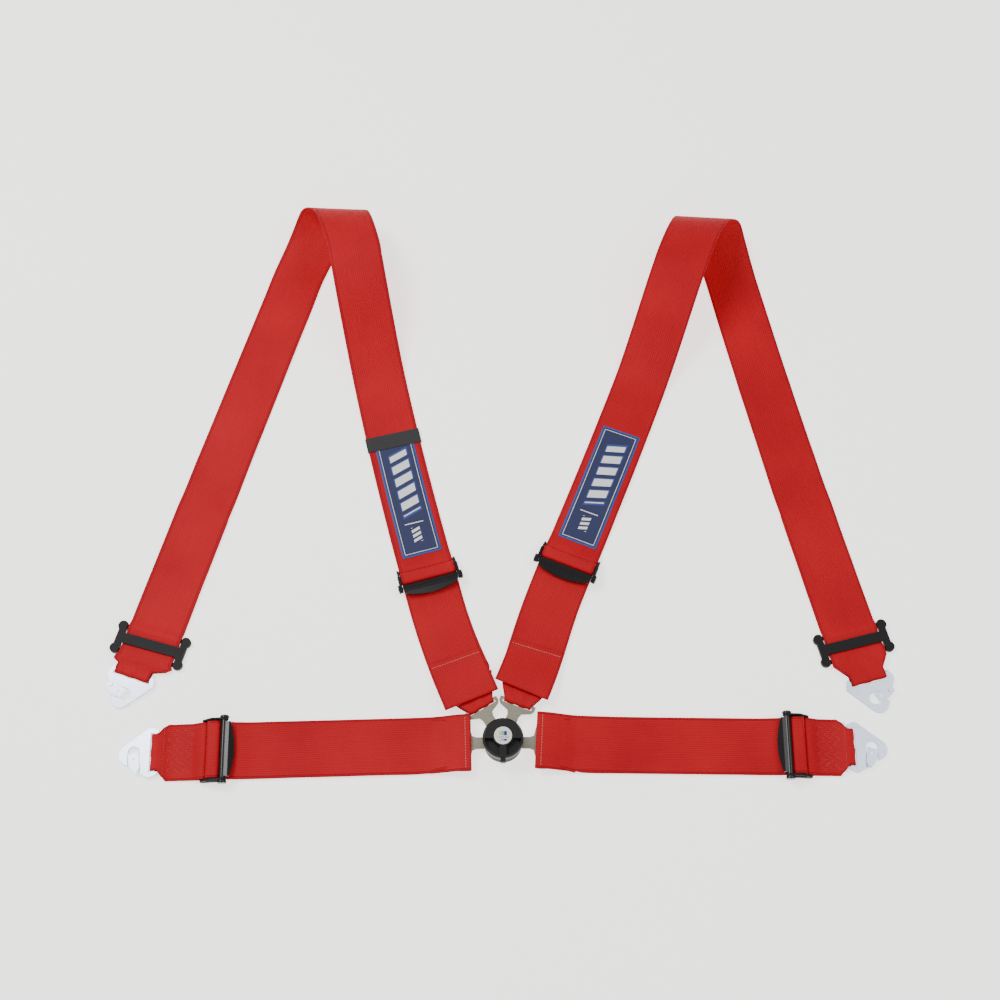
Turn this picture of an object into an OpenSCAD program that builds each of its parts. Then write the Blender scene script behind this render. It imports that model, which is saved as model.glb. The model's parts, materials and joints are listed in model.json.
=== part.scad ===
// Four point racing harness with a rotary cam lock buckle, laid out flat.
// The origin is the centre of the buckle's back face. +X is the wearer-view right, +Y runs
// towards the shoulder crowns, +Z is up off the surface. Headings are compass angles from +Y.
// Pairs are written [left, right].

/* [Webbing] */
// Width of every strap
web_w = 75; // [60:1:80]
// Thickness of the webbing
web_t = 1.4; // [1.1:0.1:1.8]
// Gap between the webbing and what it touches
web_gap = 0.15; // [0.1:0.05:0.2]
// Width of the webbing where it is folded into a hook
fold_w = 48; // [40:1:50]

/* [Buckle] */
// Diameter of the round housing
housing_d = 50; // [48:1:56]
// Height of the housing between its two plates
housing_h = 18; // [17:0.5:22]
// Diameter of the turning knob
knob_d = 53; // [52:1:60]
// Height of the knob
knob_h = 12; // [10:0.5:15]
// Diameter of the badge on the knob
badge_d = 23; // [16:1:24]
// Thickness of each steel tongue
tongue_t = 3; // [2.5:0.1:3.2]
// Distance from the buckle's centre to the bar of a shoulder tongue
shoulder_tongue = 57; // [52:1:70]
// Distance from the buckle's centre to the bar of a lap tongue
lap_tongue = 54; // [52:1:70]
// Lift of the latch plate
latch_lift = 3.6; // [3.2:0.1:4]

/* [Lap belt] */
// Distance from the buckle to the left lap adjuster
lap_adjuster_left = 370; // [250:1:420]
// Distance from the buckle to the right lap adjuster
lap_adjuster_right = 378; // [250:1:420]
// Distance from the buckle to the bar of each lap hook
lap_hook = 453; // [445:1:520]

/* [Shoulder belts] */
// Length of the outer run, from the rear slide to the start of the crown loop
outer_run = 590; // [450:5:700]
// Length of the inner run, from the crown loop to the adjuster
inner_run = 480; // [400:5:560]
// Radius of the crown loop
crown_r = 40; // [25:1:45]
// Length of the free tail behind the rear slide
tail_len = 200; // [120:5:260]
// Length of the pull loop's fold
pull_fold = 66; // [40:1:80]

/* [Adjusters] */
// Diameter of the lever's rod
rod_d = 9; // [8:0.5:9.5]
// Thickness of the end plates
end_plate_t = 2.5; // [2:0.1:3]
// Travel of the lock bar
lock_travel = 1.2; // [0.6:0.1:1.3]
// Height of the rear slide's frame
slide_t = 2.4; // [2:0.1:3]

/* [Hooks] */
// Thickness of the hook plates
hook_t = 3; // [2.5:0.1:3.2]
// Radius of the throat's seat
throat_r = 7.5; // [6:0.1:8]
// Radius of the split pin hole in each gate
split_r = 1.6; // [1:0.1:2]

/* [Hidden] */
$fn = 48;
SIDES = ["left", "right"];
ARMS = ["shoulder_left", "shoulder_right", "lap_left", "lap_right"];

steel = "gainsboro";
black = [0.1, 0.1, 0.11];
red = [0.72, 0.09, 0.11];
floor_gap = 0.05;               // lowest webbing above the surface
low = floor_gap + web_t / 2;    // centre of a strap that lies on the surface
layer = web_t + web_gap;        // one strap on another

// Buckle heights
plate_t = 2;
floor_z = 5;                                // floor of the housing's cavity
tongue_z = floor_z + 0.3 + tongue_t / 2;    // mid plane of the tongues
latch_z = tongue_z + tongue_t / 2 + 0.7;    // underside of the latch plate
latch_t = 2;
top_z = plate_t + housing_h;                // underside of the top plate
knob_z = top_z + plate_t + 0.3;
spindle_r = 3;
plunger_r = 2.3;
plunger_at = 17;                            // plungers on the buckle's radius
neck_w = 15.5;
lap_tilt = [1.6, 0.7];                      // how far each lap belt runs below the X axis
tongue_turn = [-31, 20.2, -90 - lap_tilt[0], 90 + lap_tilt[1]];
tongue_bar = [shoulder_tongue, shoulder_tongue, lap_tongue, lap_tongue];
tongue_slot_w = [40, 40, 58, 58];           // width of the webbing slot in each tongue
tongue_web_w = [37, 37, 55, 55];            // width of the webbing gathered in it
tongue_bar_w = 3.6;
tongue_loop_r = tongue_t / 2 + web_t / 2 + 1.4;   // webbing round a tongue's bar

loop_end = [[-41, 56], [24.5, 70]];         // end of each pull loop, and its heading
loop_turn = [-22.6, 22.9];
tail_end = [[-42, -1.2], [43.5, 2.2]];      // end of each lap tail, and how it is turned
tail_turn = [0, 2.4];

// Crown loops: slide centre, heading there, turn of the outer run, loop angle, stretch and
// sideways advance of the loop, turn of the inner run, turn and length below the slide
slide_at = [[-472, 133.5], [470, 136.4]];
slide_turn = [15.8, -14.2];
outer_turn = [0.9, 2.6];
outer_extra = [21, -19];                    // difference between the two outer runs
crown_a = [13.7, -15.6];
crown_stretch = [2.05, 2.2];
crown_advance = [2.8, 2.33];
inner_turn = [-5, 2.7];
inner_extra = [3, -14];
below_turn = [3, -1.5];
below_len = [45, 52];
below_shift = [-7, 1.5];                    // the loop on the hook sits to one side
hook_hold = 10;                             // narrow straight stretch before the hook's bar
slide_hold = 24;                            // straight stretch through the slide
inner_z = floor_gap + layer + web_t / 2;    // top layer over its sewn underlayer

// Bars and their webbing loops, in an adjuster's own frame: u outwards, v across, z up
bar_loop_r = 3.9;                           // centre of the webbing round a fixed bar
fixed_at = [18.3, bar_loop_r + web_t / 2 + floor_gap];
fixed_r = bar_loop_r - web_t / 2 - 0.3;
lock_at = [6, 10.5];
lock_half = 3.5;
lock_loop_r = 4.8;
lock_r = lock_loop_r - web_t / 2 - (lock_travel + 0.6) / 2;
rod_at = [-7.5, 13];
rod_loop_r = rod_d / 2 + web_t / 2 + 0.1;
pin_r = 2;
run_gap = 0.05;                             // running clearance of hinge pins
plate_v = web_w / 2 + 1.1;                  // inner face of an end plate
label_l = 183;
label_w = 55;
label_t = 0.6;
label_from = 38;                            // label's lower edge from the adjuster
sewn_len = 85;

// Hook frame: u towards the tip, w across, origin on the bar's axis
hook_z = fixed_at[1];
hook_tilt = 3.6;
hook_bar_w = 5;
hook_lobe = [34.6, -2];
hook_lobe_r = 13;
throat_at = [27.1, 1];
gate_pivot = [21.6, -22];
gate_t = 1.5;
rivet_r = 1.8;

function unit(v) = v / norm(v);
function dir(h) = [sin(h), cos(h), 0];
function right_of(h) = [cos(h), -sin(h), 0];
function flat(p, z) = [p[0], p[1], z];
function mix(a, b, t) = a + (b - a) * t;
function ease(t) = (1 - cos(180 * max(0, min(1, t)))) / 2;
function heading(v) = atan2(v[0], v[1]);
// Point at distance s along an arc that starts at p with heading h and turns by t over length l
function arc_at(p, h, t, l, s) = let (k = t / l, r = 180 / (PI * k))
    [p[0] + r * (cos(h) - cos(h + k * s)), p[1] + r * (sin(h + k * s) - sin(h)), h + k * s];
// Points round a bar in the s-z plane
function round_bar(c, r, a0, a1, w, n = 8) =
    [for (i = [0:n]) let (a = mix(a0, a1, i / n)) [c[0] + r * cos(a), c[1] + r * sin(a), w]];
// Straight or eased stretch between two heights
function rise(s0, z0, s1, z1, w0, w1, n = 4) =
    [for (i = [0:n]) let (t = i / n) [mix(s0, s1, t), mix(z0, z1, ease(t)), mix(w0, w1, t)]];
// Stations [point, across, half width] of a profile [s, z, width] laid along a plan function
function lay(plan, profile) = [for (q = profile) let (m = plan(q[0]))
    [flat(m, q[1]), right_of(m[2]), q[2] / 2]];

// Closed ribbon through stations, t thick; a station's line across may be oblique to the ribbon
module ribbon(st, t = web_t) {
    n = len(st);
    pts = [for (i = [0:n - 1])
        let (along = unit(st[min(i + 1, n - 1)][0] - st[max(i - 1, 0)][0]),
             up = cross(st[i][1], along), w = st[i][1] / norm(up))
        for (c = [[-1, -1], [1, -1], [1, 1], [-1, 1]])
            st[i][0] + w * (c[0] * st[i][2]) + unit(up) * (c[1] * t / 2)];
    // top and bottom are split along the same diagonal, so a twist can't fold one through the other
    sides = [for (i = [0:n - 2]) for (j = [0:3]) let (a = 4 * i + j, b = 4 * i + (j + 1) % 4)
        each j == 2 ? [[a, b, a + 4], [b, b + 4, a + 4]] : [[a, b, b + 4], [a, b + 4, a + 4]]];
    e = 4 * (n - 1);
    polyhedron(pts, concat([[3, 2, 1], [3, 1, 0]], sides, [[e, e + 1, e + 2], [e, e + 2, e + 3]]));
}

// ---- Plan of the shoulder belts ----
function outer_len(i) = outer_run + outer_extra[i];
function outer_at(i, s) = s > 0 ? arc_at(slide_at[i], slide_turn[i], outer_turn[i], outer_len(i), s)
    : let (h = slide_turn[i], p = slide_at[i] + max(s, -slide_hold) * [sin(h), cos(h)])
      s > -slide_hold ? [p[0], p[1], h]
      : let (l = below_len[i] - slide_hold, over = max(0, -s - below_len[i]),
             e = arc_at(p, h + 180, below_turn[i], l, min(-s - slide_hold, l)),
             side = below_shift[i] * ease((-s - slide_hold) / (l - hook_hold)) * right_of(h) + over * dir(e[2]))
        [e[0] + side[0], e[1] + side[1], e[2] - 180];
function crown_start(i) = outer_at(i, outer_len(i));
function crown_turn(i) = crown_start(i)[2] - crown_a[i];
function crown_at(i, a) = let (d = crown_turn(i))
    flat(crown_start(i), low) + right_of(d) * (crown_r * a * PI / 180 * tan(crown_a[i]) * crown_advance[i])
    + dir(d) * (crown_stretch[i] * crown_r * sin(a)) + [0, 0, crown_r * (1 - cos(a))];
function inner_len(i) = inner_run + inner_extra[i];
function inner_at(i, s) = arc_at(crown_at(i, 180), 180 - crown_a[i] + crown_turn(i), inner_turn[i], inner_len(i), s);
function inner_end(i) = inner_at(i, inner_len(i));
// Adjuster frames [x, y, outward heading]
function shoulder_adjuster(i) = let (e = inner_end(i), h = e[2] + 180)
    [e[0] - fixed_at[0] * sin(h), e[1] - fixed_at[0] * cos(h), h];
function lap_at(i, u) = let (h = tongue_turn[i + 2]) [u * sin(h), u * cos(h), h];
function adjuster_at(k) = k < 2 ? shoulder_adjuster(k)
    : lap_at(k - 2, k == 2 ? lap_adjuster_left : lap_adjuster_right);
function hook_at(k) = k < 2 ? let (p = outer_at(k, -below_len[k])) [p[0], p[1], p[2] + 180]
    : lap_at(k - 2, lap_hook);
hook_hand = [1, -1, -1, 1];
function tongue_bar_at(k) = tongue_bar[k] * [sin(tongue_turn[k]), cos(tongue_turn[k])];
// Smooth plan curve from point a, heading ha, to an adjuster b; its last stretch is straight
lead = 32;
function before(b) = [b[0] - lead * sin(b[2]), b[1] - lead * cos(b[2])];
function curve_len(a, b) = norm(before(b) - a) + lead;
function curve_at(a, ha, b, s) = let (p3 = before(b), l = norm(p3 - a), hb = b[2],
    p1 = a + l / 3 * [sin(ha), cos(ha)], p2 = p3 - l / 3 * [sin(hb), cos(hb)], t = s / l)
    t < 0 ? let (p = a + s * [sin(ha), cos(ha)]) [p[0], p[1], ha]
    : t > 1 ? let (p = p3 + (s - l) * [sin(hb), cos(hb)]) [p[0], p[1], hb]
    : let (u = 1 - t, p = u^3 * a + 3 * u^2 * t * p1 + 3 * u * t^2 * p2 + t^3 * p3,
           d = 3 * u^2 * (p1 - a) + 6 * u * t * (p2 - p1) + 3 * t^2 * (p3 - p2)) [p[0], p[1], heading(d)];
// Under layer, from a tongue's bar, and top layer, from the end of the pull loop or tail
function pull_run(k) = curve_len(tongue_bar_at(k), adjuster_at(k));
function pull_at(k, s) = curve_at(tongue_bar_at(k), tongue_turn[k], adjuster_at(k), s);
function top_start(k) = k < 2 ? loop_end[k] : tail_end[k - 2];
function top_turn(k) = k < 2 ? loop_turn[k] : tongue_turn[k] + tail_turn[k - 2];
function top_run(k) = curve_len(top_start(k), adjuster_at(k));
function top_at(k, s) = curve_at(top_start(k), top_turn(k), adjuster_at(k), s);

// ---- Strap profiles ----
over_bar = slide_t + web_gap + web_t / 2;
// Through the rear slide: over one outer bar, under the centre bar, over the other
function slide_pass(z, sign) = [for (q = [[26, 0], [20, 1], [13.5, 1], [7.5, 0], [0, 0], [-7.5, 0], [-13.5, 1], [-20, 1]])
    [sign * q[0], z + q[1] * (over_bar - low), web_w]];
// Up round the lock bar and back under the lever's rod, in an adjuster's frame at distance s
function lock_turn(s) = let (v = rod_at - lock_at + [lock_half, 0],
    a = atan2(v[1], v[0]) - acos((lock_loop_r + rod_loop_r) / norm(v))) concat(
    round_bar([s + lock_at[0] + lock_half, lock_at[1]], lock_loop_r, -80, 90, web_w),
    round_bar([s + lock_at[0] - lock_half, lock_at[1]], lock_loop_r, 90, a, web_w, 4),
    round_bar([s + rod_at[0], rod_at[1]], rod_loop_r, a - 180, -110, web_w, 5));

// Under layer: sewn loop on a tongue's bar, out to the adjuster and round its lock bar
function under_profile(k) = let (g = tongue_web_w[k], r = tongue_loop_r, run = pull_run(k)) concat(
    rise(40, low, 14, low + 0.3, web_w, mix(g, web_w, 0.4), 3),
    round_bar([0, tongue_z], r, 270, 90, g),
    rise(14, tongue_z + r - 1.2, 48, low + layer, mix(g, web_w, 0.4), web_w, 5),
    rise(56, low, run - 34, low, web_w, web_w, 6),
    [[run - 12, low + 1.6, web_w]],
    lock_turn(run));
// Top layer: from the lever's rod back to s = 0, at height end_z there
top_low = low + layer;
near_z = top_low + 0.6;
function top_profile(k, end_z) = let (run = top_run(k)) concat(
    rise(run - 21, low + 4.6, run - 42, top_low, web_w, web_w, 3),
    rise(run - 60, top_low, 76, top_low, web_w, web_w, 5),
    rise(58, near_z, 3, end_z, web_w, web_w, 6));
// The shoulder straps' free end is folded back on top, the lap straps' end is hemmed under
hem_r = 1.3;
hem_len = 16;
shoulder_z = tongue_z + tongue_loop_r + layer + 0.4;
lap_z = shoulder_z + 2 * hem_r;
function fold_over() = concat(round_bar([hem_r, shoulder_z + hem_r], hem_r, 250, 110, web_w, 4),
    rise(6, shoulder_z + 2 * hem_r, 58, near_z + 2 * hem_r, web_w, web_w, 6),
    [[pull_fold, near_z + 2 * hem_r - 0.4, web_w]]);
function hem_under() = concat(round_bar([hem_r, lap_z - hem_r], hem_r, 110, 250, web_w, 4),
    [[hem_len, lap_z - 2 * hem_r, web_w]]);
// From the tail, through the slide and round the hook's bar, and back through the slide
function reversed(v) = [for (i = [len(v) - 1:-1:0]) v[i]];
function outer_profile(i) = let (b = below_len[i], l = outer_len(i)) concat(
    rise(tail_len, low, 40, low, web_w, web_w, 3),
    slide_pass(low, 1),
    rise(-25, over_bar - 0.4, hook_hold - b, low, web_w, fold_w, 2),
    round_bar([-b, hook_z], bar_loop_r, 270, 90, fold_w),
    rise(hook_hold - b, hook_z + bar_loop_r - 0.8, -25, over_bar + layer, fold_w, web_w, 2),
    reversed(slide_pass(low + layer, 1)),
    rise(40, low + layer, tail_len + 5, low + layer, web_w, web_w, 3),
    rise(tail_len + 20, low, l, low, web_w, web_w, 6));
// The crown loop bends about a level axis, so its lines across all lie that way
function crown_stations(i) = [for (a = [12:12:180]) [crown_at(i, a), right_of(crown_turn(i)), web_w / 2]];
// The inner run comes down from the crown before it reaches the label
function inner_stations(i) = let (l = inner_len(i), top = low + 2 * crown_r,
    drop = min(200, l - label_from - label_l - 20)) [for (s = [20:20:l - 60]) let (m = inner_at(i, s))
    [flat(m, mix(top, inner_z, ease(s / drop))), -right_of(m[2]), web_w / 2]];
function fixed_profile() = let (f = fixed_at[0]) concat(
    rise(f + 36, inner_z, f + 18, inner_z, web_w, web_w, 1),
    [[f + 8, hook_z + bar_loop_r - 2, web_w]],
    round_bar([f, hook_z], bar_loop_r, 90, 270, web_w),
    rise(f + 8, low, sewn_len, low, web_w, web_w, 2));
// Both ends sewn under the middle, one loop on the hook and one on the fixed bar
function anchor_profile(i) = let (f = (i == 0 ? lap_adjuster_left : lap_adjuster_right) + fixed_at[0],
    h = lap_hook, m = (f + h) / 2, top = low + layer) concat(
    [[m + 0.6, low, web_w], [h - 15, low, web_w], [h - 4, low, fold_w]],
    round_bar([h, hook_z], bar_loop_r, -90, 90, fold_w),
    [[h - 4, hook_z + bar_loop_r - 0.3, fold_w]],
    rise(h - 10, hook_z + 1.5, h - 17, top, mix(fold_w, web_w, 0.6), web_w, 2),
    rise(f + 24, top, f + 17, top, web_w, web_w, 1),
    [[f + 8, hook_z + bar_loop_r - 2, web_w]],
    round_bar([f, hook_z], bar_loop_r, 90, 270, web_w),
    [[f + 8, low, web_w], [m - 0.6, low, web_w]]);
// The inner run measured outwards from its adjuster, with the outward heading
function inner_out(i, s) = inner_at(i, inner_len(i) + fixed_at[0] - s) + [0, 0, 180];

// ---- Buckle ----
module tongue_slots() for (h = tongue_turn) rotate(-h)
    translate([-neck_w / 2 - 0.4, 0, floor_z]) cube([neck_w + 0.8, housing_d, tongue_t + 0.7]);
module rivet_holes(r) for (a = [-65, -115]) rotate(a) translate([housing_d / 2 - 6, 0, -1])
    cylinder(r = r, h = 60);
module buckle_back_plate() color(steel) difference() {
    cylinder(d = housing_d, h = plate_t);
    rivet_holes(2.05);
}
module buckle_body() color(black) difference() {
    translate([0, 0, plate_t]) cylinder(d = housing_d, h = housing_h);
    difference() {
        translate([0, 0, floor_z]) cylinder(d = housing_d - 8, h = housing_h);
        for (a = [-65, -115]) rotate(a) translate([housing_d / 2 - 6, 0, 0]) cylinder(r = 3.6, h = 60);
    }
    tongue_slots();
    rivet_holes(2.05);
}
module buckle_top_plate() color(steel) translate([0, 0, top_z]) difference() {
    cylinder(d = housing_d, h = plate_t);
    translate([0, 0, -1]) cylinder(r = spindle_r + run_gap, h = 5);
    rivet_holes(2.05);
}
module buckle_rivets() color(steel) for (a = [-65, -115]) rotate(a)
    translate([housing_d / 2 - 6, 0, 0.1]) cylinder(r = 2, h = top_z + plate_t - 0.2);
arm_w = 9;
badge_y = 2.5;               // the badge sits off centre, away from the arm
module release_knob() color(black) translate([0, 0, knob_z]) difference() {
    union() {
        cylinder(d = knob_d, h = knob_h - 3);
        translate([0, 0, knob_h - 3]) cylinder(d1 = knob_d, d2 = knob_d - 5, h = 3, $fn = 72);
        translate([-arm_w * 0.37, -knob_d / 2 - 5, 1]) cube([arm_w * 0.74, 12, knob_h - 4]);
    }
    // finger scoops either side of the arm
    difference() {
        translate([0, 0, 4.5]) cylinder(d = knob_d - 6, h = knob_h);
        translate([-knob_d, -1, 0]) cube([2 * knob_d, knob_d, 2 * knob_h]);
        translate([-arm_w / 2, -knob_d, 0]) cube([arm_w, knob_d, 2 * knob_h]);
        translate([0, badge_y, 0]) cylinder(d = badge_d + 4, h = 2 * knob_h);
    }
    translate([0, badge_y, knob_h - 0.5]) cylinder(d = badge_d + 0.4, h = 2);
    translate([0, 0, -1]) cylinder(r = spindle_r + 0.01, h = 9);
}
module knob_badge() color("white") translate([0, badge_y, knob_z + knob_h - 0.5]) cylinder(d = badge_d, h = 0.5);
module knob_spindle() color(steel) translate([0, 0, floor_z + 0.3]) cylinder(r = spindle_r, h = knob_z + 8 - floor_z - 0.3);
cam_r = 9;
lug_in = 5.5;
knob_throw = 60;
ramp_from = 10;      // the ramp starts beside a lug, which is 2 * ramp_from wide
function lift_at(a) = latch_lift * a / knob_throw;
module cam_ring() color(steel) {
    z0 = latch_z - 0.4;
    difference() {
        translate([0, 0, floor_z + 0.4]) cylinder(r = cam_r, h = z0 - floor_z - 0.4);
        translate([0, 0, -1]) cylinder(r = spindle_r + 0.01, h = 30);
    }
    for (k = [0, 120, 240]) {
        st = [for (i = [0:12]) let (a = 90 + k - ramp_from - 1 - 64 * i / 12, z = lift_at(64 * i / 12))
            for (c = [[lug_in, -0.6], [cam_r - 0.4, -0.6], [cam_r - 0.4, z], [lug_in, z]])
                [c[0] * cos(a), c[0] * sin(a), z0 + c[1]]];
        faces = [for (i = [0:11]) for (j = [0:3]) let (a = 4 * i + j, b = 4 * i + (j + 1) % 4)
            each [[a, b + 4, b], [a, a + 4, b + 4]]];
        polyhedron(st, concat([[0, 1, 2], [0, 2, 3]], faces, [[50, 49, 48], [51, 50, 48]]));
    }
}
module latch_plate() color(steel) {
    translate([0, 0, latch_z]) difference() {
        union() {
            difference() {
                cylinder(r = housing_d / 2 - 5.2, h = latch_t);
                translate([0, 0, -1]) cylinder(r = cam_r + 0.5, h = 5);
            }
            for (k = [0, 120, 240]) intersection() {
                difference() {
                    cylinder(r = cam_r + 1, h = latch_t);
                    translate([0, 0, -1]) cylinder(r = lug_in, h = 5);
                }
                rotate(90 + k - ramp_from) rotate_extrude(angle = 2 * ramp_from) square([cam_r + 2, latch_t]);
            }
        }
        for (a = [-65, -115]) rotate(a) translate([housing_d / 2 - 6, 0, -1]) cylinder(r = 4, h = 5);
    }
    for (h = tongue_turn) rotate(-h) translate([0, plunger_at, tongue_z + tongue_t / 2 + 0.3])
        cylinder(r = plunger_r, h = latch_z - tongue_z - tongue_t / 2);
}
module latch_spring() color(steel) {
    turns = 3;
    r = 13;
    wire = 0.6;
    rise_z = top_z - latch_z - latch_t - 2 * wire - 0.1;
    n = turns * 12;
    pts = [for (i = [0:n]) let (a = i * 30, z = latch_z + latch_t + wire + 0.05 + rise_z * i / n)
        for (b = [0:60:300]) [(r + wire * cos(b)) * cos(a), (r + wire * cos(b)) * sin(a), z + wire * sin(b)]];
    faces = [for (i = [0:n - 1]) for (j = [0:5]) let (a = 6 * i + j, b = 6 * i + (j + 1) % 6)
        each [[a, b + 6, b], [a, a + 6, b + 6]]];
    e = 6 * n;
    polyhedron(pts, concat([for (j = [1:4]) [0, j, j + 1]], faces, [for (j = [1:4]) [e, e + j + 1, e + j]]));
}

// ---- Belt hardware, drawn in its own frame ----
module tongue(k) color(steel) rotate(-tongue_turn[k]) translate([0, 0, tongue_z - tongue_t / 2]) {
    b = tongue_bar[k];
    sw = tongue_slot_w[k] / 2;
    out_w = sw + 4.5;
    in_u = b - tongue_loop_r - web_t / 2 - 0.7;
    linear_extrude(tongue_t) difference() {
        union() {
            polygon([[-4.4, 11.5], [4.4, 11.5], [neck_w / 2, 18.5], [neck_w / 2, in_u - 14],
                [neck_w / 2 + 2, in_u - 9], [out_w - 3, in_u - 4], [out_w, in_u], [out_w, b + 1],
                [out_w - 3, b + tongue_bar_w / 2], [3 - out_w, b + tongue_bar_w / 2], [-out_w, b + 1], [-out_w, in_u],
                [3 - out_w, in_u - 4], [-neck_w / 2 - 2, in_u - 9], [-neck_w / 2, in_u - 14],
                [-neck_w / 2, 18.5]]);
        }
        translate([-sw, in_u]) square([2 * sw, b - tongue_bar_w / 2 - in_u]);
        translate([0, plunger_at]) circle(r = plunger_r + 0.3);
    }
}
module at_adjuster(k) { m = adjuster_at(k); translate([m[0], m[1], 0]) rotate(90 - m[2]) children(); }
module across_plate(v, t) translate([0, v + t, 0]) rotate([90, 0, 0]) linear_extrude(t) children();
module lock_outline(r) hull() for (s = [-1, 1]) translate([lock_at[0] + s * lock_half, lock_at[1]]) circle(r = r, $fn = 32);
module adjuster_frame(k) color(black) at_adjuster(k) {
    for (v = [plate_v, -plate_v - end_plate_t]) across_plate(v, end_plate_t) difference() {
        hull() {
            translate(fixed_at) circle(r = fixed_at[1] - 0.3, $fn = 32);
            translate(lock_at) circle(r = 7.6, $fn = 32);
            translate(rod_at) circle(r = 5.4, $fn = 32);
        }
        lock_outline(lock_r + lock_travel / 2 + 0.3);
        translate(rod_at) circle(r = pin_r);
    }
    across_plate(-plate_v, 2 * plate_v) translate(fixed_at) circle(r = fixed_r);
}
module adjuster_lock_bar(k) color(black) at_adjuster(k) translate([(-lock_travel) / 2, 0, 0])
    across_plate(-plate_v - end_plate_t - 1, 2 * (plate_v + end_plate_t + 1)) lock_outline(lock_r);
lever_v = plate_v - 0.6;
module adjuster_lever(k) color(black) at_adjuster(k) {
    across_plate(-lever_v, 2 * lever_v) difference() {
        translate(rod_at) circle(d = rod_d);
        translate(rod_at) circle(r = pin_r + run_gap);
    }
    intersection() {
        across_plate(-lever_v + 2, 2 * lever_v - 4) translate(rod_at) difference() {
            polygon([[-2.2, 3.9], [-7, 4.4], [-14.5, -1.5], [-14.2, -3.2], [-12.6, -2.6], [-7, 1.8], [-2.2, 1.6]]);
            circle(d = rod_d - 1);
        }
        linear_extrude(40) polygon(concat([[rod_at[0], -lever_v], [rod_at[0], lever_v]],
            [for (j = [10:-1:-10]) [rod_at[0] - 8.5 - 5.5 * cos(9 * j), j * lever_v / 10]]));
    }
}
module adjuster_pin(k) color(steel) at_adjuster(k) {
    reach = plate_v + end_plate_t;
    across_plate(-reach - 4, 2 * reach + 8) translate(rod_at) circle(r = pin_r);
    for (v = [reach + 0.4, -reach - 3.4]) across_plate(v, 3) translate(rod_at) circle(r = 3.4);
}
module rear_slide(i) color(black) translate([slide_at[i][0], slide_at[i][1], 0]) rotate(-slide_turn[i]) {
    lobe = 7;
    hl = web_w / 2 + 14 - lobe;
    hw = 23 - lobe;
    slot = web_w / 2 + 1.5;
    bar_z = low + layer + web_t / 2 + 0.2;
    difference() {
        linear_extrude(bar_z + slide_t) difference() {
            union() {
                square([2 * hl - 2, 2 * hw + 8], center = true);
                for (x = [-hl, hl], y = [-hw, hw]) translate([x, y]) circle(r = lobe);
                for (x = [-hl, hl]) translate([x, 0]) square([8, 2 * hw], center = true);
            }
            for (y = [-14, 7]) translate([-slot, y]) square([2 * slot, 7]);
        }
        translate([-slot, -7.01, -1]) cube([2 * slot, 14.02, bar_z + 1]);
        for (y = [-40, 13.99]) translate([-slot, y, slide_t]) cube([2 * slot, 26.01, 20]);
    }
}
module at_hook(k) { m = hook_at(k); translate([m[0], m[1], hook_z]) rotate(90 - m[2]) rotate([0, hook_tilt, 0])
    mirror([0, hook_hand[k] < 0 ? 1 : 0, 0]) children(); }
module hook(k) color(steel) at_hook(k) translate([0, 0, -hook_t / 2]) linear_extrude(hook_t) difference() {
    hull() {
        polygon([[-5, -fold_w / 2 - 5], [-5, fold_w / 2 + 5], [3, fold_w / 2 + 9], [8.6, fold_w / 2 + 9],
            [8.6, -fold_w / 2 - 9], [3, -fold_w / 2 - 9]]);
        translate(hook_lobe) circle(r = hook_lobe_r);
    }
    // throat, open to one side
    translate(throat_at) circle(r = throat_r);
    translate([throat_at[0] - throat_r, -60]) square([2 * throat_r, 60 + throat_at[1]]);
    // webbing slot in front of the bar, and the bar's own relief behind
    translate([hook_bar_w / 2, -fold_w / 2 - 1.5]) square([bar_loop_r + web_t / 2 + 1 - hook_bar_w / 2, fold_w + 3]);
    translate([-12, -fold_w / 2 - 1.5]) square([12 - hook_bar_w / 2, fold_w + 3]);
    translate(gate_pivot) circle(r = rivet_r + run_gap);
}
module hook_gate(k) color(steel) at_hook(k) translate([0, 0, hook_t / 2 + 0.1]) difference() {
    union() {
        linear_extrude(gate_t) polygon([[21.2, 1], [33.6, -3], [31.1, -18], [24.8, -26.5], [21.6, -27.6], [18.2, -25], [17.6, -20]]);
        translate([throat_at[0] + throat_r - 4.2, -14.4, -hook_t]) cube([3.6, 7.8, hook_t + 0.1]);
    }
    translate([gate_pivot[0], gate_pivot[1], -1]) cylinder(r = rivet_r + run_gap, h = 5);
    translate([26.2, -8, -1]) cylinder(r = split_r, h = 5);
}
module hook_rivet(k) color(steel) at_hook(k) translate([gate_pivot[0], gate_pivot[1], -hook_t / 2]) {
    cylinder(r = rivet_r, h = hook_t + gate_t + 1);
    translate([0, 0, hook_t + gate_t + 0.2]) cylinder(r = 3, h = 1);
}

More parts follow.
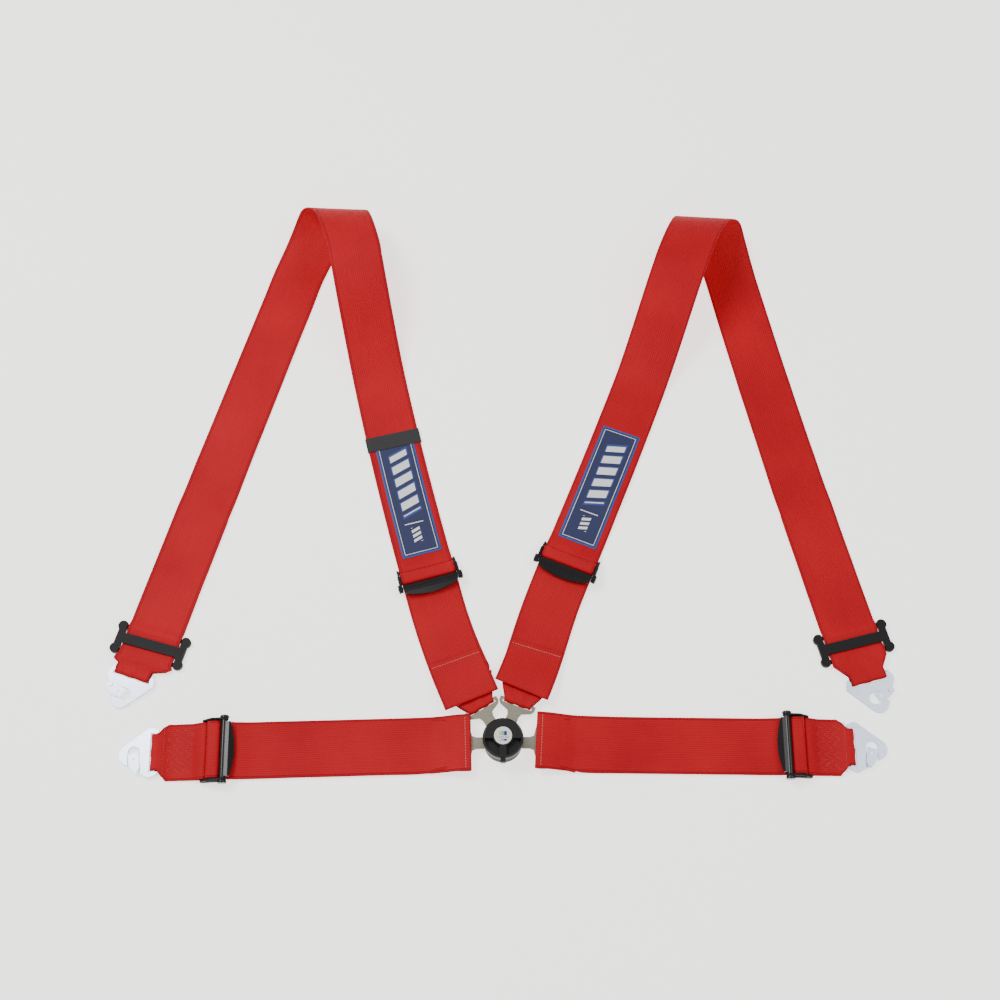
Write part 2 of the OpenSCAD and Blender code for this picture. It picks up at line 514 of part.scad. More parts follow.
// ---- Straps ----
module strap(k) color(red) {
    if (k < 2) ribbon(concat(lay(function(s) outer_at(k, s), outer_profile(k)), crown_stations(k),
        inner_stations(k), lay(function(s) inner_out(k, s), fixed_profile())));
    else doubled(k, hem_under());
}
module doubled(k, end) ribbon(concat(lay(function(s) pull_at(k, s), under_profile(k)),
    lay(function(s) top_at(k, s), concat(top_profile(k, k < 2 ? shoulder_z : lap_z), end))));
module pull_strap(i) color(red) doubled(i, fold_over());
module anchor_strap(i) color(red) ribbon(lay(function(u) lap_at(i, u), anchor_profile(i)));
module label(i) color("midnightblue") ribbon(lay(function(s) inner_out(i, s),
    [for (j = [0:8]) [label_from + label_l * j / 8, inner_z + web_t / 2 + label_t / 2 + 0.02, label_w]]), label_t);
keeper_at = 217;
keeper_w = 22;
keeper_t = 0.9;
module keeper_band() color(black) {
    m = inner_out(0, keeper_at);
    z = inner_z - web_t / 2 - 0.2;
    h = web_t + label_t + 0.4;
    translate([m[0], m[1], z]) rotate(-m[2]) difference() {
        translate([-web_w / 2 - 0.4 - keeper_t, -keeper_w / 2, -keeper_t]) cube([web_w + 0.8 + 2 * keeper_t, keeper_w, h + 2 * keeper_t]);
        translate([-web_w / 2 - 0.4, -keeper_w, 0]) cube([web_w + 0.8, 2 * keeper_w, h]);
    }
}

buckle_back_plate();
buckle_body();
buckle_top_plate();
buckle_rivets();
release_knob();
knob_badge();
knob_spindle();
cam_ring();
latch_plate();
latch_spring();
keeper_band();
for (k = [0:3]) let (a = ARMS[k]) {
    tongue(k);
    adjuster_frame(k);
    adjuster_lock_bar(k);
    adjuster_lever(k);
    adjuster_pin(k);
    hook(k);
    hook_gate(k);
    hook_rivet(k);
    strap(k);
}
for (i = [0:1]) let (s = SIDES[i]) {
    pull_strap(i);
    label(i);
    rear_slide(i);
    anchor_strap(i);
}
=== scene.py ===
# Looks of a four point racing harness laid out flat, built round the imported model.
import json
import math
from itertools import permutations

import bmesh
import bpy
from mathutils import Matrix, Vector, noise


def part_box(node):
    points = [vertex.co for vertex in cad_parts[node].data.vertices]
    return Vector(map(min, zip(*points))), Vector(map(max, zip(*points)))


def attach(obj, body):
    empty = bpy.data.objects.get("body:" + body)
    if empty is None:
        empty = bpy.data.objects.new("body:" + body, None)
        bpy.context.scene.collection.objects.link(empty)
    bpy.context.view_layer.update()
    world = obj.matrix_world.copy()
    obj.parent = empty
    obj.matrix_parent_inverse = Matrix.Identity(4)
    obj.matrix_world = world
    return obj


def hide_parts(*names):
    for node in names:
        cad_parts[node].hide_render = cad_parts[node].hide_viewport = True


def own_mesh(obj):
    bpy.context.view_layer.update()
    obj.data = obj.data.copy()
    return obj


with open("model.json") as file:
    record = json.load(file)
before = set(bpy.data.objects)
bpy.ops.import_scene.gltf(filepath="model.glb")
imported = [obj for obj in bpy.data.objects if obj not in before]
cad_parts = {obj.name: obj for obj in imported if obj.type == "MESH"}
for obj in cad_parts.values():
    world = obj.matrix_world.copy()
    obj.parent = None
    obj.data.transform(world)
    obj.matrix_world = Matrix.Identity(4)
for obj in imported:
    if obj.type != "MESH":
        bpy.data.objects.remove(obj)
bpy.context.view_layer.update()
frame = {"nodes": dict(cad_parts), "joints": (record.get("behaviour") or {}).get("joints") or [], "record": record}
nodes = frame["nodes"]
mm = 0.001
sides = ["left", "right"]
arms = ["shoulder_left", "shoulder_right", "lap_left", "lap_right"]
bodyOf = {node: body for body, names in frame["record"]["behaviour"]["bodies"].items() for node in names}


class Wire:
    # a number or colour on its way through the nodes
    def __init__(self, finish, socket):
        self.finish = finish
        self.socket = socket

    def maths(self, operation, *values):
        return self.finish.node("ShaderNodeMath", {"operation": operation}, *values)

    def __add__(self, other):
        return self.maths("ADD", self, other)

    __radd__ = __add__

    def __mul__(self, other):
        return self.maths("MULTIPLY", self, other)

    __rmul__ = __mul__

    def __sub__(self, other):
        return self.maths("SUBTRACT", self, other)

    def __rsub__(self, other):
        return self.maths("SUBTRACT", other, self)

    def __gt__(self, other):
        return self.maths("GREATER_THAN", self, other)

    def __lt__(self, other):
        return self.maths("LESS_THAN", self, other)

    def __abs__(self):
        return self.maths("ABSOLUTE", self)

    def wave(self, length):
        return self.maths("SINE", self * (2 * math.pi / length))

    def repeat(self, length):
        return self.maths("FRACT", self * (1 / length))

    def within(self, low, high):
        return (self > low) * (self < high)


class Finish:
    # one material and its nodes
    def __init__(self, name, colour, **settings):
        self.material = bpy.data.materials.new(name)
        self.material.use_nodes = True
        self.tree = self.material.node_tree
        self.shader = self.tree.nodes["Principled BSDF"]
        self.feed(self.shader, {"Base Color": colour, **settings})

    def feed(self, target, values):
        for key, value in values.items():
            socket = target.inputs[key]
            if isinstance(value, Wire):
                self.tree.links.new(value.socket, socket)
            elif socket.type == "RGBA" and len(value) == 3:
                socket.default_value = (*value, 1)
            else:
                socket.default_value = value

    def node(self, kind, settings=None, *values, out=0, **named):
        made = self.tree.nodes.new(kind)
        for key, value in (settings or {}).items():
            setattr(made, key, value)
        self.feed(made, {**dict(enumerate(values)), **named})
        return Wire(self, made.outputs[out])

    def mix(self, share, first, second):
        made = self.tree.nodes.new("ShaderNodeMix")
        made.data_type = "RGBA"
        self.feed(made, {0: share, 6: first, 7: second})
        return Wire(self, made.outputs[2])

    def coordinates(self, kind="Object"):
        return self.node("ShaderNodeTexCoord", out=["Generated", "Normal", "UV", "Object"].index(kind))

    def split(self, kind="UV"):
        place = self.coordinates(kind)
        return [self.node("ShaderNodeSeparateXYZ", None, place, out=i) for i in range(3)]

    def noise(self, scale, detail=2.0, kind="Object"):
        place = self.coordinates(kind)
        return self.node("ShaderNodeTexNoise", None, Vector=place, Scale=scale, Detail=detail)

    def bump(self, height, distance, strength=1.0):
        self.feed(self.shader, {"Normal": self.node(
            "ShaderNodeBump", None, Strength=strength, Distance=distance, Height=height)})


webbing = {
    "width": 75 * mm, "thick": 1.4 * mm, "red": (0.60, 0.007, 0.014), "deep": (0.26, 0.001, 0.008),
    "rib": 2.9 * mm, "pick": 1.1 * mm, "selvedge": 2.6 * mm, "groove": 0.5 * mm,
    "sheen": (1.0, 0.2, 0.15), "streaks": (900.0, 14.0, 1.0),
}


def redWebbing():
    w = webbing
    finish = Finish("redWebbing", w["red"], **{
        "Sheen Weight": 0.08, "Sheen Roughness": 0.4, "Sheen Tint": w["sheen"], "Specular IOR Level": 0.16})
    inner = w["width"] / 2 - w["selvedge"]
    across, along, _ = finish.split()
    slant = abs((across * (1 / (10 * w["rib"]))).repeat(1.0) - 0.5) * 6 * w["rib"]
    twill = (along + slant).wave(w["pick"] * 2) * 0.5 + across.wave(w["rib"]) * 0.5
    edge = abs(across) > inner
    # painted shade darkens the sunken groove line inside each edge; the band along both edges is darker as well
    groove = abs(across).within(inner - w["groove"], inner)
    # slow patches: partly uneven colour of the dye, partly painted shade standing in for the strap's broad light
    # and dark
    patches = finish.noise(9.0, 3.0)
    streaks = finish.node("ShaderNodeTexNoise", None, Vector=finish.node(
        "ShaderNodeVectorMath", {"operation": "MULTIPLY"}, finish.coordinates("UV"), w["streaks"]),
        Scale=1.0, Detail=1.0)
    shade = finish.mix(patches * 0.7 + streaks * 0.25 + twill * 0.30 - 0.1, w["red"], w["deep"])
    finish.feed(finish.shader, {"Base Color": finish.mix(groove * 0.65 + edge * 0.40, shade, w["deep"]),
                                "Roughness": 0.55 + patches * 0.15})
    finish.bump(twill * 0.5 - groove * 1.4, 0.16 * mm, 0.8)
    return finish.material


# the keeper lies turned by about 15 degrees: cosine and sine
elastic = {"turn": (0.966, 0.259), "rib": 1.6 * mm, "cross": 1.1 * mm,
           "light": (0.028, 0.028, 0.03), "dark": (0.008, 0.008, 0.01)}


def blackElastic():
    finish = Finish("blackElastic", elastic["light"], Roughness=0.8, **{"Sheen Weight": 0.3})
    x, y, _ = finish.split("Object")
    cosine, sine = elastic["turn"]
    ribs = (x * cosine + y * sine).wave(elastic["rib"])
    cross = (y * cosine - x * sine).wave(elastic["cross"])
    colour = finish.mix(ribs * 0.3 + 0.3, elastic["light"], elastic["dark"])
    finish.feed(finish.shader, {"Base Color": colour})
    finish.bump(ribs + cross * 0.4, 0.15 * mm, 0.7)
    return finish.material


def thread(name, colour):
    finish = Finish(name, colour, Roughness=0.55, **{"Sheen Weight": 0.4})
    twist = finish.noise(1400.0, 2.0)
    shaded = tuple(c * 0.55 for c in colour)
    finish.feed(finish.shader, {"Base Color": finish.mix(twist * 0.6, colour, shaded)})
    finish.bump(twist, 0.1 * mm, 0.6)
    return finish.material


def worn(name, colour, light, roughness, grain, coat=0.0, distance=0.02 * mm):
    # plastic or black paint with fine grain and slow patches in colour and roughness
    finish = Finish(name, colour, **{"Coat Weight": coat, "Coat Roughness": 0.12, "Specular IOR Level": 0.28})
    patches = finish.noise(22.0, 4.0)
    fine = finish.noise(grain, 3.0)
    finish.feed(finish.shader, {"Base Color": finish.mix(patches * 0.5 + fine * 0.2, colour, light),
                                "Roughness": roughness - 0.08 + patches * 0.12 + fine * 0.08})
    finish.bump(fine, distance, 0.5)
    return finish.material


def brushed(name, colour, light, roughness, grain=(120.0, 1500.0, 300.0)):
    # bare or plated metal with its grain drawn out one way
    finish = Finish(name, colour, Metallic=1.0)
    fine = finish.node("ShaderNodeTexNoise", None, Vector=finish.node(
        "ShaderNodeVectorMath", {"operation": "MULTIPLY"}, finish.coordinates(), grain),
        Scale=1.0, Detail=2.0)
    patches = finish.noise(30.0, 3.0)
    finish.feed(finish.shader, {"Base Color": finish.mix(fine * 0.5 + patches * 0.3, colour, light),
                                "Roughness": roughness - 0.07 + fine * 0.14})
    finish.bump(fine, 0.015 * mm, 0.5)
    return finish.material


floor = {"light": (0.99, 0.985, 0.97), "dull": (0.975, 0.965, 0.945), "glow": (1.0, 0.985, 0.955),
         "power": 1.5, "size": 8, "drop": 1 * mm}


def floorPaper():
    # it gives off some light of its own, so that it shows pale
    finish = Finish("floorPaper", floor["light"], Roughness=0.9, **{
        "Emission Strength": floor["power"], "Emission Color": floor["glow"]})
    patches = finish.noise(1.6, 2.0)
    finish.feed(finish.shader, {"Base Color": finish.mix(patches * 0.4, floor["light"], floor["dull"])})
    return finish.material


label = {
    "length": 183 * mm, "width": 55 * mm, "rim": 2.4 * mm, "line": (4.2 * mm, 5.0 * mm), "lean": 0.32,
    "bar": 19 * mm, "fill": 0.62, "bars": (-28 * mm, 66 * mm), "shift": 1.5 * mm, "reach": 12.5 * mm,
    "halo": (-31 * mm, 69 * mm), "haloReach": 14.2 * mm,
    "pip": 7 * mm, "pips": (-72 * mm, -50 * mm), "pipReach": 6 * mm,
    "rule": (-44 * mm, -42.6 * mm), "ruleReach": 13 * mm,
    "weave": (0.9 * mm, 0.7 * mm), "white": (0.82, 0.83, 0.86), "glow": (0.03, 0.08, 0.34),
    "edge": (0.01, 0.065, 0.30), "navy": (0.006, 0.012, 0.075), "worn": (0.010, 0.018, 0.10),
}


def wovenLabel():
    # navy field, brighter rim, a thin white frame and a generic row of slanted bars
    finish = Finish("wovenLabel", label["navy"], Roughness=0.6, **{"Sheen Weight": 0.25})
    across, along, _ = finish.split()
    fromSide = label["width"] / 2 - abs(across)
    fromEnd = label["length"] / 2 - abs(along)
    inset = finish.node("ShaderNodeMath", {"operation": "MINIMUM"}, fromSide, fromEnd)
    rim = inset < label["rim"]
    frameLine = inset.within(*label["line"])
    lean = along + across * label["lean"]
    side = abs(across + label["shift"])
    row = lean.repeat(label["bar"])
    bars = (row < label["fill"]) * lean.within(*label["bars"]) * (side < label["reach"])
    pips = (lean.repeat(label["pip"]) < 0.6) * along.within(*label["pips"]) * (
        abs(across) < label["pipReach"])
    rule = along.within(*label["rule"]) * (abs(across) < label["ruleReach"])
    white = finish.node("ShaderNodeMath", {"operation": "MAXIMUM"}, bars, pips + rule + frameLine)
    halo = (row - label["fill"] / 2).within(-0.40, 0.40) * lean.within(*label["halo"]) * (
        side < label["haloReach"])
    weave = across.wave(label["weave"][0]) * along.wave(label["weave"][1])
    field = finish.mix(finish.noise(30.0) * 0.5, label["navy"], label["worn"])
    field = finish.mix(halo * 0.7, field, label["glow"])
    field = finish.mix(rim, field, label["edge"])
    finish.feed(finish.shader, {"Base Color": finish.mix(white, field, label["white"])})
    finish.bump(weave * 0.4 + white * 1.2, 0.12 * mm, 0.6)
    return finish.material


badge = {
    "white": (0.85, 0.85, 0.83), "upper": (2.6 * mm, 8.2 * mm), "lower": (-4.6 * mm, -2.0 * mm),
    "blocks": [(-5.4 * mm, -1.9 * mm, (0.85, 0.72, 0.05)), (-1.9 * mm, 1.5 * mm, (0.10, 0.48, 0.80)),
               (1.5 * mm, 5.0 * mm, (0.01, 0.02, 0.16))],
    "dashes": (-0.6 * mm, 1.0 * mm), "dashReach": 7.2 * mm, "dash": 2.6 * mm, "dashInk": (0.05, 0.06, 0.12),
}


def printedBadge():
    # white disc with plain colour blocks and a row of dashes
    finish = Finish("printedBadge", badge["white"], **{"Coat Weight": 0.4})
    x, y, _ = finish.split("Object")
    row = finish.node("ShaderNodeMath", {"operation": "MAXIMUM"}, y.within(*badge["upper"]),
                      y.within(*badge["lower"]))
    colour = badge["white"]
    for low, high, ink in badge["blocks"]:
        colour = finish.mix(row * x.within(low, high), colour, ink)
    dashes = y.within(*badge["dashes"]) * (abs(x) < badge["dashReach"]) * (x.repeat(badge["dash"]) < 0.62)
    colour = finish.mix(dashes * 0.8, colour, badge["dashInk"])
    finish.feed(finish.shader, {"Base Color": colour, "Roughness": 0.25 + finish.noise(90.0) * 0.1})
    return finish.material


def newPiece(name, bm, material, smooth=True):
    mesh = bpy.data.meshes.new(name)
    bm.to_mesh(mesh)
    bm.free()
    mesh.materials.append(material)
    for face in mesh.polygons:
        face.use_smooth = smooth
    piece = bpy.data.objects.new(name, mesh)
    bpy.context.collection.objects.link(piece)
    return piece


def mount(piece, node, replaces=True):
    # the piece goes where the CAD node goes, and usually stands for it
    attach(piece, bodyOf[node])
    if replaces:
        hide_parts(node)
    return piece


def merged(node):
    bm = bmesh.new()
    bm.from_mesh(nodes[node].data)
    bmesh.ops.remove_doubles(bm, verts=bm.verts, dist=1e-6)
    return bm


def softened(node, name, material, bevel=0.35 * mm, segments=2):
    # the CAD solid with its sharp edges broken, as stamping or moulding leaves them
    bm = merged(node)
    bmesh.ops.dissolve_limit(bm, angle_limit=math.radians(1), verts=bm.verts, edges=bm.edges)
    piece = newPiece(name, bm, material)
    edge = piece.modifiers.new("bevel", "BEVEL")
    edge.width = bevel
    edge.segments = segments
    edge.limit_method = "ANGLE"
    edge.angle_limit = math.radians(28)
    piece.modifiers.new("flats", "WEIGHTED_NORMAL").weight = 90
    return mount(piece, node)


def beyond(ring, seen):
    return {e.other_vert(v) for v in ring for e in v.link_edges} - seen


# the longest step in metres and the greatest bend in degrees between two points of a centre line
spacing = {"step": 9 * mm, "bend": 11}


class Run:
    # a strap's centre line, read from its CAD ribbon: one ring of four corners per station,
    # from the end that lies nearest to a point
    def __init__(self, node, nearest=(0, 0, 0)):
        bm = merged(node)
        ends = [v for v in bm.verts if len(v.link_edges) == 3]
        start = min(ends, key=lambda v: (v.co - Vector(nearest)).length)
        near = sorted((e.other_vert(start) for e in start.link_edges), key=lambda v: (v.co - start.co).length)
        for wide in near[1:]:
            corner = near[0].co + wide.co - start.co
            ring = [start, near[0], min(bm.verts, key=lambda v: (v.co - corner).length), wide]
            if len(beyond(ring, set(ring))) == 4:
                break
        rings, seen = [ring], set(ring)
        while len(following := beyond(rings[-1], seen)) == 4:
            ring = min(permutations(following), key=lambda way: sum(
                (a.co - b.co).length for a, b in zip(way, rings[-1])))
            rings.append(ring)
            seen.update(ring)
        centres = [sum((v.co for v in r), Vector()) / 4 for r in rings]
        halves = [(r[3].co - r[0].co + r[2].co - r[1].co) / 4 for r in rings]
        bm.free()
        self.stations = self.smoothed(centres, halves)
        self.lengths = [0.0]
        for a, b in zip(self.stations, self.stations[1:]):
            self.lengths.append(self.lengths[-1] + (b[0] - a[0]).length)
        self.long = self.lengths[-1]

    def smoothed(self, centres, halves):
        # a cubic through the stations, with more points where the strap bends
        steps = [(b - a).length for a, b in zip(centres, centres[1:])]
        slopes = [(b - a) / d for a, b, d in zip(centres, centres[1:], steps)]
        tangents = [slopes[0]]
        for i in range(1, len(slopes)):
            tangents.append((slopes[i - 1] * steps[i] + slopes[i] * steps[i - 1]) / (steps[i] + steps[i - 1]))
        tangents.append(slopes[-1])
        made = []
        for i, d in enumerate(steps):
            bend = math.degrees(tangents[i].angle(tangents[i + 1]))
            count = max(1, math.ceil(d / spacing["step"]), math.ceil(bend / spacing["bend"]))
            for k in range(count + (i == len(steps) - 1)):
                t = k / count
                place = (centres[i] * (1 + 2 * t) * (1 - t) ** 2 + tangents[i] * d * t * (1 - t) ** 2
                         + centres[i + 1] * t * t * (3 - 2 * t) + tangents[i + 1] * d * t * t * (t - 1))
                made.append((place, halves[i].lerp(halves[i + 1], t)))
        result = []
        for i, (place, half) in enumerate(made):
            along = (made[min(i + 1, len(made) - 1)][0] - made[max(i - 1, 0)][0]).normalized()
            result.append((place, half, half.cross(along).normalized(), along))
        return result

    def at(self, s, v, lift=0.0):
        # the point s along the strap and v to its side, both in metres, lift above its upper face
        i = max(1, next((k for k, l in enumerate(self.lengths) if l >= s), len(self.lengths) - 1))
        t = (s - self.lengths[i - 1]) / max(self.lengths[i] - self.lengths[i - 1], 1e-9)
        place, half, up, along = (a.lerp(b, t) for a, b in zip(self.stations[i - 1], self.stations[i]))
        up = up.normalized() * (1 if up.z > 0 else -1)
        return settle(place + half.normalized() * v + up * lift), along.normalized(), up


# the middle and reach of each piece that holds the webbing down
stillEndings = ("_adjuster_frame", "_rear_slide", "_hook", "_tongue", "buckle_body", "keeper_band")
calm = [(sum(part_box(n), Vector()) / 2, (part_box(n)[1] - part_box(n)[0]).length / 2)
        for n in nodes if n.endswith(stillEndings)]
swells = {"height": 1.9 * mm, "waves": [(9, 3, 1), (21, 8, 0.5)], "base": 0.25,
          "inside": 8 * mm, "fade": 55 * mm}


def settle(p):
    # cloth isn't dead flat: slow, low swells that die out near the hardware
    swell = sum(share * noise.noise(Vector((p.x * scale, p.y * scale, seed)))
                for scale, seed, share in swells["waves"])
    near = min((Vector((p.x, p.y, 0)) - Vector((c.x, c.y, 0))).length - r for c, r in calm)
    ease = min(max((near + swells["inside"]) / swells["fade"], 0), 1)
    rise = swells["height"] * max(swell + swells["base"], 0) * ease * ease * (3 - 2 * ease)
    return p + Vector((0, 0, rise))


# how webbing creases where it is drawn together: waves across, their drift along, and their fall at the edges
crease = {"waves": 7.5, "drift": 2.2, "along": 60, "fall": 1.3}


def ribbon(name, run, material, thick, across=16, gather=0.0):
    # the strap as one closed woven band, with a UV map in metres
    rows = len(run.stations) - 1
    bm = bmesh.new()
    bmesh.ops.create_grid(bm, x_segments=across, y_segments=rows, size=1)
    uv = bm.loops.layers.uv.new("UVMap")
    spots = {}
    wide = [half.cross(along).length for _, half, _, along in run.stations]
    full = max(wide)
    for v in bm.verts:
        u, row = v.co.x, round((v.co.y + 1) / 2 * rows)
        place, half, up, _ = run.stations[row]
        spots[v] = (u * full, run.lengths[row])
        pinch = 1 - wide[row] / full
        drift = crease["drift"] * math.sin(run.lengths[row] * crease["along"])
        fold = gather * pinch * math.sin(crease["waves"] * u + drift) * math.cos(u * crease["fall"])
        v.co = settle(place + half * u + up * fold)
    for face in bm.faces:
        for loop in face.loops:
            loop[uv].uv = spots[loop.vert]
    bmesh.ops.recalc_face_normals(bm, faces=bm.faces)
    piece = newPiece(name, bm, material)
    wall = piece.modifiers.new("thickness", "SOLIDIFY")
    wall.thickness = thick
    wall.offset = 0
    edge = piece.modifiers.new("selvedge", "BEVEL")
    edge.width = thick * 0.33
    edge.segments = 2
    edge.limit_method = "ANGLE"
    edge.angle_limit = math.radians(60)
    return piece


def stitches(name, run, path, pitch, material, size=(1.5 * mm, 0.36 * mm), lift=0.2 * mm):
    # a seam: short rounded stitches along a path of (along, across) points on the upper face
    bm = bmesh.new()
    height = webbing["thick"] / 2 + lift
    for (s0, v0), (s1, v1) in zip(path, path[1:]):
        count = max(1, round(math.hypot(s1 - s0, v1 - v0) / pitch))
        for k in range(count):
            t = (k + 0.5) / count
            here, _, up = run.at(s0 + (s1 - s0) * t, v0 + (v1 - v0) * t, height)
            ahead, _, _ = run.at(s0 + (s1 - s0) * (t + 0.01), v0 + (v1 - v0) * (t + 0.01), height)
            way = (ahead - here).normalized()
            turn = Matrix((way, up.cross(way), up)).transposed().to_4x4()
            grow = Matrix.Diagonal((size[0], size[1], size[1] * 0.8, 1))
            bmesh.ops.create_uvsphere(bm, u_segments=6, v_segments=4, radius=1,
                                      matrix=Matrix.Translation(here) @ turn @ grow)
    return newPiece(name, bm, material)


camera = {"place": (-0.0039, -0.4877, 1.9195), "tilt": 23.5086, "lens": 53.9, "sensor": 36}
studio = {
    "world": (1.0, 0.985, 0.96), "worldPower": 0.5,
    "aim": (0, 0.3, 0),
    "lamps": [((-1.3, 1.0, 2.2), 1.1, 44), ((1.4, 0.3, 2.2), 1.3, 15), ((0.0, -1.7, 1.7), 1.3, 9)],
}


def setStage():
    seen = bpy.data.cameras.new("camera")
    seen.lens = camera["lens"]
    seen.sensor_width = camera["sensor"]
    eye = bpy.data.objects.new("camera", seen)
    eye.location = camera["place"]
    eye.rotation_euler = (math.radians(camera["tilt"]), 0, 0)
    bpy.context.collection.objects.link(eye)
    bpy.context.scene.camera = eye
    for i, (place, size, power) in enumerate(studio["lamps"]):
        lamp = bpy.data.lights.new(f"softbox{i}", "AREA")
        lamp.size = size
        lamp.energy = power
        box = bpy.data.objects.new(f"softbox{i}", lamp)
        box.location = place
        box.rotation_euler = (Vector(studio["aim"]) - Vector(place)).to_track_quat("-Z", "Y").to_euler()
        bpy.context.collection.objects.link(box)
    world = bpy.data.worlds.new("studio")
    world.use_nodes = True
    world.node_tree.nodes["Background"].inputs[0].default_value = (*studio["world"], 1)
    world.node_tree.nodes["Background"].inputs[1].default_value = studio["worldPower"]
    bpy.context.scene.world = world
    bm = bmesh.new()
    bmesh.ops.create_grid(bm, x_segments=2, y_segments=2, size=floor["size"])
    # the folds of the webbing dip a little below the plane the part lies on
    bmesh.ops.translate(bm, vec=(0, 0, -floor["drop"]), verts=bm.verts)
    newPiece("floor", bm, floorPaper(), smooth=False)


def makeStraps(finishes):
    runs = {}
    for arm in arms:
        second = "pull" if arm.startswith("shoulder") else "anchor"
        for node in (f"{arm}_strap", f"{arm}_{second}_strap"):
            run = Run(node)
            piece = ribbon(node.replace("_strap", "_webbing"), run, finishes["webbing"], webbing["thick"],
                           gather=1.1 * mm)
            mount(piece, node)
            runs[node] = run
    return runs


def makeLabels(finishes):
    for side in sides:
        node = f"shoulder_{side}_label"
        run = Run(node)
        run.lengths = [l - run.long / 2 for l in run.lengths]
        piece = ribbon(f"{side}_label", run, finishes["label"], 0.6 * mm, across=10)
        mount(piece, node)


# seams reach to both sides of the middle; pull and lap are their distances from a strap's end
sewing = {"reach": 34 * mm, "pull": 6 * mm, "lap": 24.5 * mm, "long": 3.6 * mm, "short": 3.2 * mm,
          "rows": 3, "turns": 9, "box": 33 * mm, "margin": 4 * mm, "seam": 22 * mm}


def makeSeams(runs, finishes):
    reach = sewing["reach"]
    for side in sides:
        node = f"shoulder_{side}_pull_strap"
        run = runs[node]
        end = run.long - sewing["pull"]
        seam = stitches(f"{side}_pull_seam", run, [(end, -reach), (end, reach)], sewing["long"],
                        finishes["cream"])
        mount(seam, node, replaces=False)
        node = f"lap_{side}_strap"
        start = sewing["lap"]
        seam = stitches(f"{side}_lap_seam", runs[node], [(start, -reach), (start, reach)], sewing["long"],
                        finishes["cream"])
        mount(seam, node, replaces=False)
        # rows of zigzags in the middle of the anchor strap, and one straight seam beside them
        node = f"lap_{side}_anchor_strap"
        run = runs[node]
        middle = run.long / 2
        wide = reach - sewing["margin"]
        deep = sewing["box"] / sewing["rows"]
        for row in range(sewing["rows"]):
            low = middle - sewing["box"] / 2 + deep * row
            turns = [(low + deep if k % 2 else low, -wide + 2 * wide * k / sewing["turns"])
                     for k in range(sewing["turns"] + 1)]
            seam = stitches(f"{side}_anchor_zigzag_{row}", run, turns, sewing["short"], finishes["tonal"])
            mount(seam, node, replaces=False)
        line = middle + sewing["seam"]
        seam = stitches(f"{side}_anchor_seam", run, [(line, -reach), (line, reach)], sewing["short"],
                        finishes["tonal"])
        mount(seam, node, replaces=False)


boss = {"radius": 6.1 * mm, "hole": 2.9 * mm, "depth": 3.4 * mm, "soft": 0.9 * mm, "gap": 0.25 * mm}
levers = {j["child"]: j for j in frame["joints"] if j["name"].endswith("_lever_lift")}


def makeBosses(arm, finishes):
    # moulded rings round the two ends of the lever's pin
    joint = levers[f"{arm}_lever"]
    axis, place = Vector(joint["axis"]), Vector(joint["pos_m"])
    corners = [Vector(v.co) for v in nodes[f"{arm}_adjuster_frame"].data.vertices]
    reach = max(abs((c - place).dot(axis)) for c in corners) + boss["gap"]
    soft, depth = boss["soft"], boss["depth"]
    outline = [(boss["hole"], 0), (boss["radius"], 0), (boss["radius"], depth - soft),
               (boss["radius"] - soft, depth), (boss["hole"] + soft, depth), (boss["hole"], depth - soft)]
    for k, way in enumerate((axis, -axis)):
        side = way.orthogonal().normalized()
        bm = bmesh.new()
        ring = [bm.verts.new(place + way * (reach + z) + side * r) for r, z in outline]
        edges = [bm.edges.new((a, b)) for a, b in zip(ring, ring[1:] + ring[:1])]
        bmesh.ops.spin(bm, geom=ring + edges, cent=place, axis=way, angle=math.tau, steps=40, use_merge=True)
        bmesh.ops.remove_doubles(bm, verts=bm.verts, dist=1e-6)
        bmesh.ops.recalc_face_normals(bm, faces=bm.faces)
        piece = newPiece(f"{arm}_boss_{k}", bm, finishes["gloss"])
        edge = piece.modifiers.new("bevel", "BEVEL")
        edge.width = 0.3 * mm
        edge.segments = 2
        edge.harden_normals = True
        mount(piece, f"{arm}_adjuster_frame", replaces=False)


spring = {"bevel": 0.05 * mm, "clear": 0.05 * mm}


def makeSpring(finishes):
    # the spring with its edges broken and a mesh of its own; the latch plate presses it against the top plate, but
    # the piece keeps its CAD length
    piece = softened("latch_spring", "latch_coil", finishes["steel"], spring["bevel"], 1)
    low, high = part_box("latch_spring")
    travel = next(j for j in frame["joints"] if j["name"] == "latch_lift")["range_m"][1]
    1 - (travel + spring["clear"]) / (high[2] - low[2])
    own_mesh(piece)


# node ending, name of the new piece, finish, bevel and its segments
moulded = [
    ("_tongue", "_tongue_plate", "nickel", 0.4 * mm, 2),
    ("_hook", "_hook_plate", "zinc", 0.45 * mm, 2),
    ("_hook_gate", "_gate_leaf", "zinc", 0.2 * mm, 2),
    ("_adjuster_frame", "_adjuster_cheeks", "satin", 0.4 * mm, 2),
    ("_adjuster_lever", "_lever", "gloss", 0.3 * mm, 3),
]


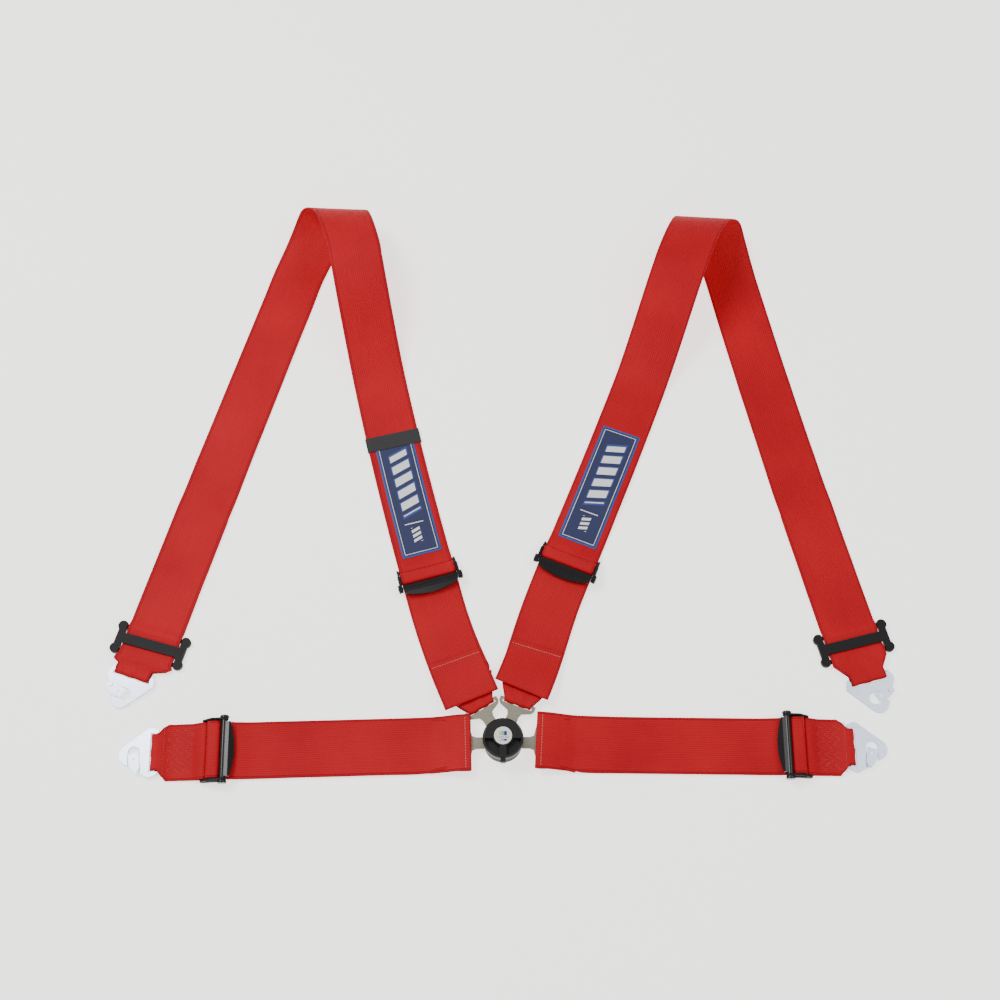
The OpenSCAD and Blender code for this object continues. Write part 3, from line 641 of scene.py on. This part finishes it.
def makeHardware(finishes):
    makeSpring(finishes)
    softened("release_knob", "knob", finishes["plastic"], 0.7 * mm, 3)
    softened("keeper_band", "keeper", finishes["elastic"], 0.45 * mm, 3)
    for arm in arms:
        for ending, name, finish, bevel, segments in moulded:
            softened(arm + ending, arm + name, finishes[finish], bevel, segments)
        makeBosses(arm, finishes)
        if arm.startswith("shoulder"):
            softened(f"{arm}_rear_slide", f"{arm}_slide", finishes["satin"], 0.7 * mm, 3)


cadFinishes = {"knob_badge": "badge", "_hook_rivet": "zinc", "_pin": "zinc", "_lock_bar": "satin",
               "buckle_body": "satin", "_top_plate": "satin"}


def dress(finishes):
    # CAD pieces that stay in view, in the finish of their name's ending, or else in plain steel
    for name, node in nodes.items():
        if not node.hide_render:
            key = next((finish for ending, finish in cadFinishes.items() if name.endswith(ending)), "steel")
            node.data.materials.clear()
            node.data.materials.append(finishes[key])


def makeFinishes():
    return {
        "webbing": redWebbing(), "elastic": blackElastic(), "label": wovenLabel(), "badge": printedBadge(),
        "cream": thread("creamThread", (0.70, 0.36, 0.28)), "tonal": thread("redThread", (0.48, 0.04, 0.04)),
        "plastic": worn("knobPlastic", (0.006, 0.0065, 0.0065), (0.014, 0.015, 0.0145), roughness=0.40,
                        grain=900.0, distance=0.05 * mm),
        "satin": worn("satinBlack", (0.004, 0.004, 0.0045), (0.010, 0.010, 0.011), roughness=0.58,
                      grain=700.0),
        "gloss": worn("glossBlack", (0.003, 0.003, 0.0035), (0.008, 0.008, 0.009), roughness=0.24,
                      grain=500.0, coat=0.25),
        "zinc": brushed("brightZinc", (0.40, 0.45, 0.56), (0.60, 0.65, 0.76), roughness=0.27),
        "nickel": brushed("satinNickel", (0.34, 0.32, 0.25), (0.50, 0.48, 0.39), roughness=0.30),
        "steel": brushed("plainSteel", (0.5, 0.5, 0.5), (0.65, 0.65, 0.66), roughness=0.35),
    }


def main():
    setStage()
    print("stage set")
    finishes = makeFinishes()
    print("finishes made")
    runs = makeStraps(finishes)
    makeLabels(finishes)
    print("straps and labels woven")
    makeSeams(runs, finishes)
    print("seams sewn")
    makeHardware(finishes)
    dress(finishes)
    print("hardware finished")


main()
